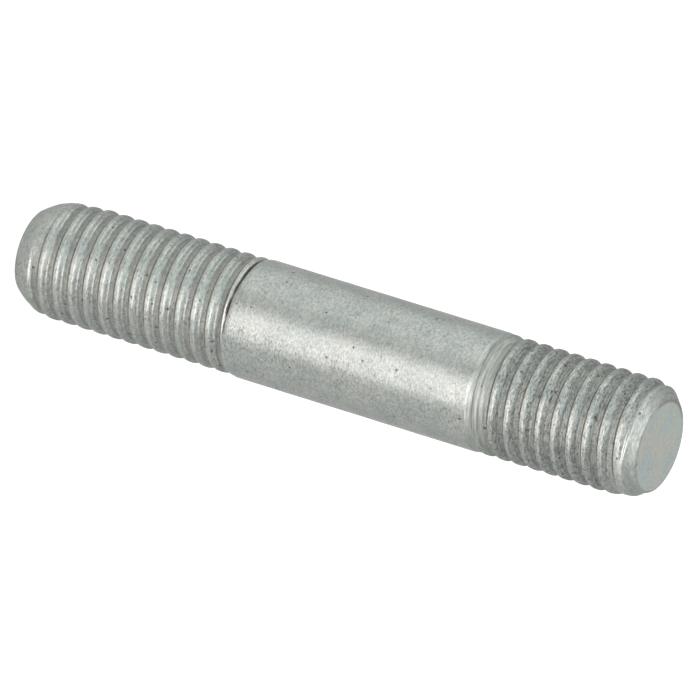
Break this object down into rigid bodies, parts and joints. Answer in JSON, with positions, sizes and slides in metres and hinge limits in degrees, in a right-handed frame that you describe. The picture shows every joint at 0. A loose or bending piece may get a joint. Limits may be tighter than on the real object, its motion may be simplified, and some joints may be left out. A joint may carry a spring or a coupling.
{
  "type": "stud bolt",
  "caption": "Double-ended steel stud: a plain shank with a metric right-hand thread rolled on each end, the lower one longer, both with chamfered ends.",
  "frame": {"origin": "centre of the lower end face, at the end of the longer thread", "axes": "+Z along the stud's axis, from the longer thread to the shorter one; both threads are right-hand about +Z"},
  "size_m": [0.014, 0.014, 0.081],
  "materials": {
    "zinc_plate": "bright zinc plating on steel, satin grey, with fine grain and small dark pits, duller in the thread grooves"
  },
  "bodies": {
    "root": {"stud": "zinc_plate"}
  },
  "joints": []
}
